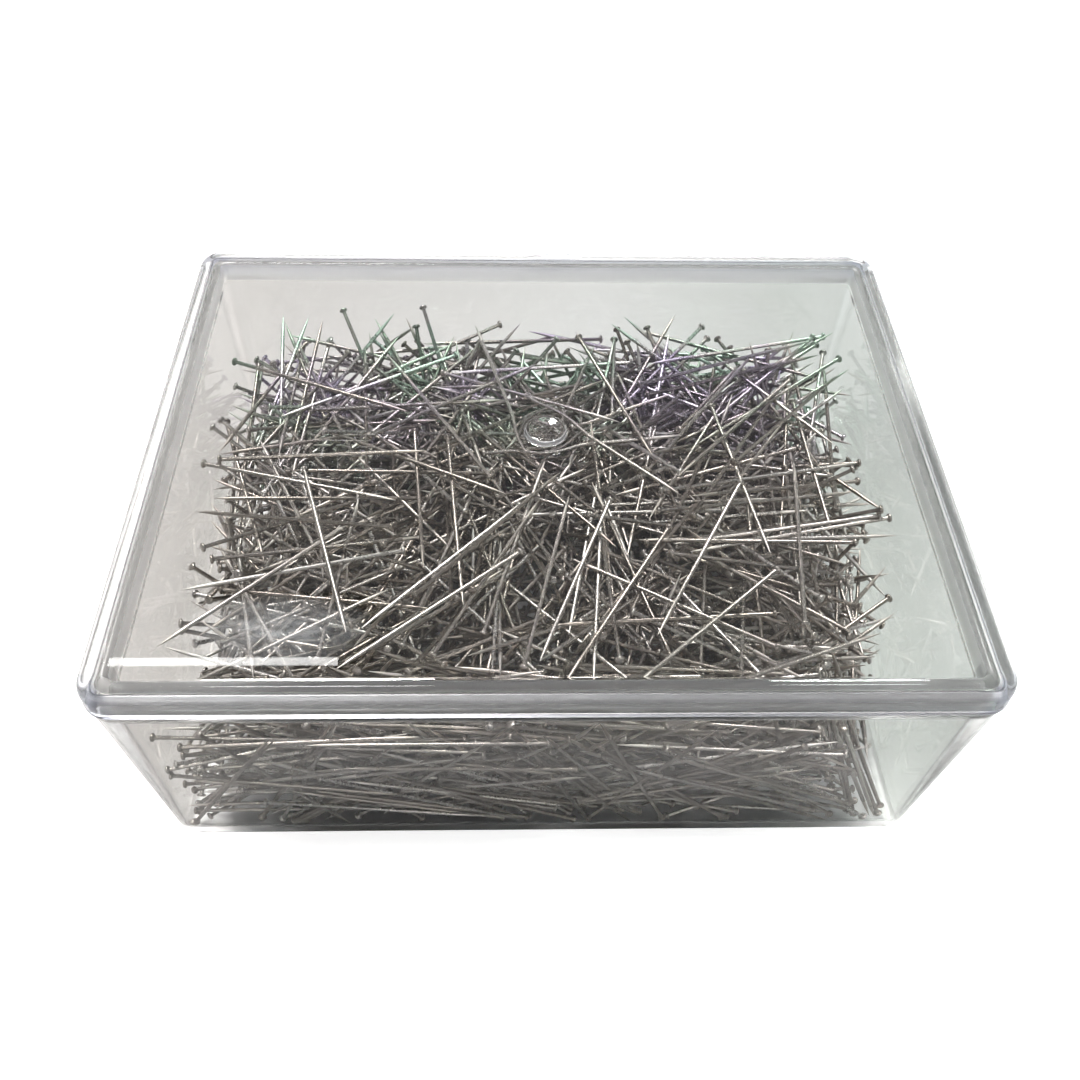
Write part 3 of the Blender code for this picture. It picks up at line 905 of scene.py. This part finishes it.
        both = nt.nodes.new("ShaderNodeMix")
        both.data_type = 'RGBA'
        both.blend_type = 'MULTIPLY'
        both.inputs["Factor"].default_value = 1.0
        L(col.outputs["Color"], both.inputs["A"])
        L(hue.outputs["Result"], both.inputs["B"])
        L(both.outputs["Result"], bsdf.inputs["Base Color"])
    # slight flow waves of the moulding
    wave = noise(nt, mapped(nt, coord, (22.0, 30.0, 40.0)), 1.0, 1.0)
    height = math_node(nt, 'MULTIPLY_ADD', scuff, 0.02)
    L(wave, height.node.inputs[2])
    bump = nt.nodes.new("ShaderNodeBump")
    bump.inputs["Strength"].default_value = 0.012
    bump.inputs["Distance"].default_value = 0.0004
    L(height, bump.inputs["Height"])
    L(bump.outputs["Normal"], bsdf.inputs["Normal"])
    return mat


steel = pin_material()
tray_clear = clear_material("clear_polystyrene_tray", (0.975, 0.98, 0.978),
                            SHOULDER_Z + 0.45, RIM_Z - 0.7)
lid_clear = clear_material("clear_polystyrene_lid", (0.98, 0.985, 0.985),
                           skirt=(BOX_H - LID_PLATE - 0.55, half_w - LID_WALL + 0.45,
                                  half_d - LID_WALL + 0.45))
tray.data.materials.append(tray_clear)
lid.data.materials.append(lid_clear)
for o in bulk + [bedded] + loose:
    o.data.materials.append(steel)
for o in (tray, lid):
    o.visible_shadow = False

# ---------------------------------------------------------- pieces to their bodies
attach(tray, "tray")
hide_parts("tray")
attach(lid, "lid")
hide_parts("lid")
for o in bulk:
    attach(o, "load")
    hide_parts("pin_heap")
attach(bedded, "load")
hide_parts(*bedded_names)
for o, name in zip(loose, loose_names):
    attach(o, name)
    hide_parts(name)

# ------------------------------------------------------------------------- stage
floor_mesh = bpy.data.meshes.new("floor")
S = 6.0
floor_mesh.from_pydata([(-S, -S, 0), (S, -S, 0), (S, S, 0), (-S, S, 0)], [], [(0, 1, 2, 3)])
floor = bpy.data.objects.new("floor", floor_mesh)
scene.collection.objects.link(floor)
floor.location.z = -0.0002
fmat, fnt, fb, fo = material("pale_floor")
# painted shade and tint under the box: darker under and beside its ends, warm on the left, cool and darkest on the
# right, with a little drift
fco = fnt.nodes.new("ShaderNodeTexCoord").outputs["Object"]
fxyz = fnt.nodes.new("ShaderNodeSeparateXYZ")
fnt.links.new(fco, fxyz.inputs[0])
side = math_node(fnt, 'MULTIPLY_ADD', fxyz.outputs["X"], 4.5)
side.node.inputs[2].default_value = 0.45
across = math_node(fnt, 'MULTIPLY_ADD', noise(fnt, fco, 3.0, 2.0), 0.1)
fnt.links.new(side, across.node.inputs[2])
fcol = ramp(fnt, across, [(0.05, (0.83, 0.80, 0.785)), (0.15, (0.81, 0.78, 0.765)),
                          (0.22, (0.67, 0.645, 0.625)), (0.30, (0.69, 0.67, 0.655)),
                          (0.55, (0.715, 0.72, 0.71)), (0.74, (0.60, 0.63, 0.605)),
                          (0.795, (0.61, 0.64, 0.62)), (0.87, (0.75, 0.78, 0.775)),
                          (1.0, (0.76, 0.79, 0.785))])
# a pale sheet under the box, on a slightly darker ground far out
away = fnt.nodes.new("ShaderNodeVectorMath")
away.operation = 'LENGTH'
fnt.links.new(fco, away.inputs[0])
fade = ramp(fnt, away.outputs["Value"], [(0.12, (1.0,) * 3), (0.30, (0.90, 0.90, 0.91))])
fmix = fnt.nodes.new("ShaderNodeMix")
fmix.data_type = 'RGBA'
fmix.blend_type = 'MULTIPLY'
fmix.inputs["Factor"].default_value = 1.0
fnt.links.new(fcol.outputs["Color"], fmix.inputs["A"])
fnt.links.new(fade.outputs["Color"], fmix.inputs["B"])
fnt.links.new(fmix.outputs["Result"], fb.inputs["Base Color"])
fb.inputs["Roughness"].default_value = 0.8
# the sweep is lit from below where it is seen bare, so it shows white round the box
path = fnt.nodes.new("ShaderNodeLightPath").outputs["Is Camera Ray"]
fb.inputs["Emission Color"].default_value = (1.0, 1.0, 1.0, 1.0)
fnt.links.new(math_node(fnt, 'MULTIPLY', path, 0.80), fb.inputs["Emission Strength"])
floor_mesh.materials.append(fmat)

# a grey card, out of sight, lies in front as painted shadow: it stands in for the box's shadow on the floor in
# front, so the front wall mirrors little light
def card(name, corners, stops, axis, scale, shift):
    mesh = bpy.data.meshes.new(name)
    mesh.from_pydata(corners, [], [(0, 1, 2, 3)])
    obj = bpy.data.objects.new(name, mesh)
    scene.collection.objects.link(obj)
    mat, nt, bsdf, out = material(name)
    xyz = nt.nodes.new("ShaderNodeSeparateXYZ")
    nt.links.new(nt.nodes.new("ShaderNodeTexCoord").outputs["Object"], xyz.inputs[0])
    far = math_node(nt, 'MULTIPLY_ADD', xyz.outputs[axis], scale)
    far.node.inputs[2].default_value = shift
    shade = ramp(nt, far, [(p, (v, v, v * 1.01)) for p, v in stops])
    nt.links.new(shade.outputs["Color"], bsdf.inputs["Base Color"])
    bsdf.inputs["Roughness"].default_value = 0.9
    mesh.materials.append(mat)
    obj.visible_camera = False
    obj.visible_diffuse = False
    obj.visible_shadow = False
    return obj


# distance in front of y = -43 mm, 0 to 1 over 200 mm
card("card_front", [(-0.40, -0.243, 0.0004), (0.40, -0.243, 0.0004), (0.40, -0.0388, 0.0004),
                    (-0.40, -0.0388, 0.0004)],
     [(0.0, 0.22), (0.04, 0.28), (0.07, 0.16), (0.10, 0.15), (0.125, 0.16), (0.4, 0.18), (0.6, 0.22), (1.0, 0.23)],
     "Y", -5.0, -0.215)

world = bpy.data.worlds.new("studio")
scene.world = world
world.use_nodes = True
wn = world.node_tree
bg = wn.nodes["Background"]
wc = wn.nodes.new("ShaderNodeTexCoord").outputs["Generated"]
wx = wn.nodes.new("ShaderNodeSeparateXYZ")
wn.links.new(wc, wx.inputs[0])
sky = ramp(wn, wx.outputs["Z"], [(0.0, (0.66, 0.66, 0.66)), (0.2, (0.45, 0.45, 0.455)),
                                (0.45, (0.155, 0.155, 0.16)), (1.0, (0.22, 0.22, 0.225))])
wn.links.new(sky.outputs["Color"], bg.inputs["Color"])
bg.inputs["Strength"].default_value = 1.0


def area(name, at, to, size, power, colour=(1, 1, 1), size_y=None):
    data = bpy.data.lights.new(name, 'AREA')
    data.energy = power
    data.color = colour
    data.shape = 'RECTANGLE' if size_y else 'SQUARE'
    data.size = size
    if size_y:
        data.size_y = size_y
    obj = bpy.data.objects.new(name, data)
    scene.collection.objects.link(obj)
    obj.location = at
    obj.rotation_euler = (Vector(to) - Vector(at)).to_track_quat('-Z', 'Y').to_euler()
    return obj


def far_lamp(name, elevation, azimuth, angle, strength, colour=(1, 1, 1)):
    """Distant lamp; azimuth is from the back, positive to the right."""
    data = bpy.data.lights.new(name, 'SUN')
    data.energy = strength
    data.angle = math.radians(angle)
    data.color = colour
    obj = bpy.data.objects.new(name, data)
    scene.collection.objects.link(obj)
    e, a = math.radians(elevation), math.radians(azimuth)
    v = Vector((math.cos(e) * math.sin(a), math.cos(e) * math.cos(a), math.sin(e)))
    obj.rotation_euler = (-v).to_track_quat('-Z', 'Y').to_euler()
    return obj


far_lamp("key", 63.0, -22.0, 12.0, 3.1, (1.0, 0.985, 0.965))
far_lamp("fill", 70.0, 62.0, 8.0, 0.6, (0.97, 1.0, 0.99))
front = far_lamp("front", 42.0, 166.0, 10.0, 0.75, (1.0, 0.965, 0.90))
# the lamp in front is flagged off the clear box and lights the pins alone
lit = bpy.data.collections.new("lit_from_the_front")
for o in bulk + [bedded] + loose:
    lit.objects.link(o)
front.light_linking.receiver_collection = lit
# a strip lamp, and a dim cloudy pane beside it, that the lid mirrors near its front edge
strip = area("strip", (-0.350, 0.6185, 1.04), (-0.350, 0.6185, 0.0), 0.276, 0.060, (1.0, 0.995, 0.98), 0.0115)
# it is mirrored by the lid alone, so the tray's floor carries no image of it to the front
shown_in = bpy.data.collections.new("mirrors_the_strip")
shown_in.objects.link(lid)
strip.light_linking.receiver_collection = shown_in
pane_mesh = bpy.data.meshes.new("pane")
pane_mesh.from_pydata([(-0.13, -0.06, 0), (0.13, -0.06, 0), (0.13, 0.06, 0), (-0.13, 0.06, 0)],
                      [], [(0, 3, 2, 1)])
pane = bpy.data.objects.new("pane", pane_mesh)
scene.collection.objects.link(pane)
pane.location = (-0.300, 0.668, 1.045)
pmat, pnt, pb, po = material("cloudy_pane")
pco = pnt.nodes.new("ShaderNodeTexCoord").outputs["Object"]
ball = pnt.nodes.new("ShaderNodeTexGradient")
ball.gradient_type = 'SPHERICAL'
pnt.links.new(mapped(pnt, pco, (7.6, 16.6, 1.0)), ball.inputs["Vector"])
streak = ramp(pnt, noise(pnt, mapped(pnt, pco, (30.0, 70.0, 1.0)), 1.0, 4.0, 0.65),
              [(0.36, (0.25,) * 3), (0.66, (1.0,) * 3)])
soft = math_node(pnt, 'MULTIPLY', ball.outputs["Fac"], streak.outputs["Color"])
pb.inputs["Base Color"].default_value = (0.0, 0.0, 0.0, 1.0)
pb.inputs["Emission Color"].default_value = (0.95, 0.98, 1.0, 1.0)
pnt.links.new(math_node(pnt, 'MULTIPLY', soft, 4.5), pb.inputs["Emission Strength"])
pane_mesh.materials.append(pmat)
pane.visible_camera = False
pane.visible_diffuse = False
pane.visible_shadow = False

# ------------------------------------------------------------------------ camera
F_PX, PITCH, YAW, ROLL = 1073.0, 50.31, 2.651, 2.025
PLACE = (-5.07, -104.55, 143.91)
p, w, r = (math.radians(a) for a in (PITCH, YAW, ROLL))
fw = Vector((math.sin(w) * math.cos(p), math.cos(w) * math.cos(p), -math.sin(p)))
rt = Vector((math.cos(w), -math.sin(w), 0.0))
up = rt.cross(fw)
right = rt * math.cos(r) + up * math.sin(r)
upward = -rt * math.sin(r) + up * math.cos(r)
cam_data = bpy.data.cameras.new("camera")
cam_data.sensor_fit = 'AUTO'
cam_data.sensor_width = 36.0
cam_data.lens = 36.0 * F_PX / 1080.0
cam_data.clip_start = 0.005
cam_data.clip_end = 50.0
cam = bpy.data.objects.new("camera", cam_data)
scene.collection.objects.link(cam)
m = Matrix((right, upward, -fw)).transposed().to_4x4()
m.translation = Vector(PLACE) * 0.001
cam.matrix_world = m
scene.camera = cam

scene.view_settings.view_transform = 'Standard'
scene.view_settings.look = 'None'
scene.cycles.use_denoising = True
scene.cycles.max_bounces = 40
scene.cycles.transmission_bounces = 32
scene.cycles.glossy_bounces = 32
scene.cycles.diffuse_bounces = 3
scene.cycles.transparent_max_bounces = 8
